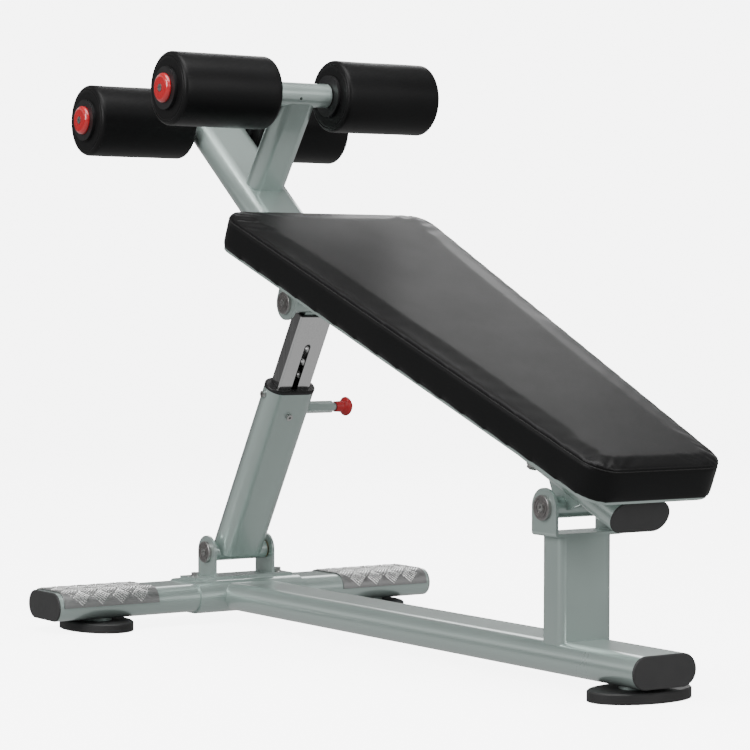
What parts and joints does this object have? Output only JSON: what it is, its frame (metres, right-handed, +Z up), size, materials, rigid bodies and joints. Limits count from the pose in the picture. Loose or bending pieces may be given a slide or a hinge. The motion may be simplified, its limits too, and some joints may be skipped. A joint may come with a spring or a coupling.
{
  "type": "decline sit up bench",
  "caption": "Adjustable decline sit-up bench: tapered pad on a hinged flat-oval frame, foam leg rollers, telescopic post with pull pin, T base on rubber feet.",
  "frame": {"origin": "on the floor under the middle of the bench's bounding box", "axes": "+Z up; +X toward the low head end of the pad; -X toward the leg rollers; Y left-right, with the pull pin on +Y"},
  "size_m": [1.3701, 0.788, 1.0114],
  "materials": {
    "base_beam": "gloss metallic powder coat, sage green",
    "cross_tube": "gloss metallic powder coat, sage green",
    "tee_sleeve": "gloss metallic powder coat, sage green",
    "front_pivot_bracket": "gloss metallic powder coat, sage green",
    "rear_post": "gloss metallic powder coat, sage green",
    "rear_pivot_bracket": "gloss metallic powder coat, sage green",
    "foot_plates": "gloss metallic powder coat, sage green",
    "seat_tube": "gloss metallic powder coat, sage green",
    "rear_pivot_sleeve": "gloss metallic powder coat, sage green",
    "seat_gussets": "gloss metallic powder coat, sage green",
    "upper_pivot_bracket": "gloss metallic powder coat, sage green",
    "knee_branch": "gloss metallic powder coat, sage green",
    "axle_tubes": "gloss metallic powder coat, sage green",
    "pad_bars": "gloss metallic powder coat, sage green",
    "outer_post": "gloss metallic powder coat, sage green",
    "front_pivot_sleeve": "gloss metallic powder coat, sage green",
    "upper_pivot_sleeve": "gloss metallic powder coat, sage green",
    "pin_barrel": "gloss metallic powder coat, sage green",
    "inner_post_lug": "gloss metallic powder coat, sage green",
    "base_end_caps": "satin moulded black",
    "seat_end_cap": "satin moulded black",
    "guide_collar": "satin moulded black",
    "inner_post_plug": "satin moulded black",
    "inner_post_glide": "satin moulded black",
    "roller_collars": "satin moulded black",
    "foot_bolts": "zinc plated",
    "foot_nuts": "zinc plated",
    "front_bracket_bolts": "zinc plated",
    "front_pivot_pin": "zinc plated",
    "rear_pivot_pin": "zinc plated",
    "upper_pivot_pin": "zinc plated",
    "base_pivot_screws": "zinc plated",
    "upper_pivot_screws": "zinc plated",
    "roller_spindles": "zinc plated",
    "roller_cap_screws": "zinc plated",
    "pad_bolts": "zinc plated",
    "post_screws": "zinc plated",
    "plunger": "zinc plated",
    "plunger_spring": "zinc plated",
    "base_pivot_caps": "turned, satin grey",
    "upper_pivot_caps": "turned, satin grey",
    "rear_pivot_bushes": "oiled bronze",
    "front_pivot_bushes": "oiled bronze",
    "rubber_feet": "matt black rubber",
    "tread_plates": "bright diamond tread sheet",
    "inner_post": "polished chrome plate",
    "pull_knob": "satin red",
    "roller_end_caps": "gloss red",
    "pad_board": "grey backing sheet",
    "pad_cushion": "black vinyl upholstery over foam",
    "knee_foam_left": "smooth skinned black foam",
    "knee_core_left": "satin moulded black",
    "knee_foam_right": "smooth skinned black foam",
    "knee_core_right": "satin moulded black",
    "ankle_foam_left": "smooth skinned black foam",
    "ankle_core_left": "satin moulded black",
    "ankle_foam_right": "smooth skinned black foam",
    "ankle_core_right": "satin moulded black"
  },
  "bodies": {
    "base": {"base_beam": "base_beam", "cross_tube": "cross_tube", "tee_sleeve": "tee_sleeve", "base_end_caps": "base_end_caps", "rubber_feet": "rubber_feet", "foot_plates": "foot_plates", "foot_bolts": "foot_bolts", "foot_nuts": "foot_nuts", "tread_plates": "tread_plates", "front_pivot_bracket": "front_pivot_bracket", "front_bracket_bolts": "front_bracket_bolts", "front_pivot_pin": "front_pivot_pin", "rear_post": "rear_post", "rear_pivot_bracket": "rear_pivot_bracket", "rear_pivot_pin": "rear_pivot_pin", "base_pivot_caps": "base_pivot_caps", "base_pivot_screws": "base_pivot_screws"},
    "seat_frame": {"seat_tube": "seat_tube", "seat_end_cap": "seat_end_cap", "rear_pivot_sleeve": "rear_pivot_sleeve", "rear_pivot_bushes": "rear_pivot_bushes", "seat_gussets": "seat_gussets", "upper_pivot_bracket": "upper_pivot_bracket", "upper_pivot_pin": "upper_pivot_pin", "upper_pivot_caps": "upper_pivot_caps", "upper_pivot_screws": "upper_pivot_screws", "knee_branch": "knee_branch", "axle_tubes": "axle_tubes", "roller_spindles": "roller_spindles", "roller_collars": "roller_collars", "roller_end_caps": "roller_end_caps", "roller_cap_screws": "roller_cap_screws", "pad_bars": "pad_bars", "pad_board": "pad_board", "pad_cushion": "pad_cushion", "pad_bolts": "pad_bolts"},
    "outer_post_body": {"outer_post": "outer_post", "front_pivot_sleeve": "front_pivot_sleeve", "front_pivot_bushes": "front_pivot_bushes", "guide_collar": "guide_collar", "post_screws": "post_screws", "pin_barrel": "pin_barrel", "plunger_spring": "plunger_spring"},
    "inner_post_body": {"inner_post": "inner_post", "inner_post_lug": "inner_post_lug", "inner_post_plug": "inner_post_plug", "inner_post_glide": "inner_post_glide", "upper_pivot_sleeve": "upper_pivot_sleeve"},
    "pull_pin": {"plunger": "plunger", "pull_knob": "pull_knob"},
    "knee_roller_left": {"knee_foam_left": "knee_foam_left", "knee_core_left": "knee_core_left"},
    "knee_roller_right": {"knee_foam_right": "knee_foam_right", "knee_core_right": "knee_core_right"},
    "ankle_roller_left": {"ankle_foam_left": "ankle_foam_left", "ankle_core_left": "ankle_core_left"},
    "ankle_roller_right": {"ankle_foam_right": "ankle_foam_right", "ankle_core_right": "ankle_core_right"}
  },
  "joints": [
    {"name": "seat_hinge", "type": "hinge", "parent": "base", "child": "seat_frame", "pos_m": [0.476, 0, 0.2748], "axis": [0, 1, 0], "range_deg": [-10, 2]},
    {"name": "post_hinge", "type": "hinge", "parent": "base", "child": "outer_post_body", "pos_m": [-0.534, 0, 0.124], "axis": [0, 1, 0], "range_deg": [-0.86, 4.25]},
    {"name": "post_slide", "type": "slide", "parent": "outer_post_body", "child": "inner_post_body", "axis": [0.5137, 0, 0.858], "range_m": [-0.1352, 0.0272]},
    {"name": "pin_pull", "type": "slide", "parent": "outer_post_body", "child": "pull_pin", "axis": [0, 1, 0], "range_m": [-0.006, 0.004]},
    {"name": "knee_roller_left_spin", "type": "hinge", "parent": "seat_frame", "child": "knee_roller_left", "pos_m": [-0.3239, -0.165, 0.9471], "axis": [0, 1, 0], "continuous": true},
    {"name": "knee_roller_right_spin", "type": "hinge", "parent": "seat_frame", "child": "knee_roller_right", "pos_m": [-0.3239, 0.165, 0.9471], "axis": [0, 1, 0], "continuous": true},
    {"name": "ankle_roller_left_spin", "type": "hinge", "parent": "seat_frame", "child": "ankle_roller_left", "pos_m": [-0.6208, -0.165, 0.9074], "axis": [0, 1, 0], "continuous": true},
    {"name": "ankle_roller_right_spin", "type": "hinge", "parent": "seat_frame", "child": "ankle_roller_right", "pos_m": [-0.6208, 0.165, 0.9074], "axis": [0, 1, 0], "continuous": true}
  ],
  "couplings": [
    {"joint": "post_hinge", "follows": "seat_hinge", "ratio": -0.42},
    {"joint": "post_slide", "follows": "seat_hinge", "m_per_rad": 0.77349}
  ]
}
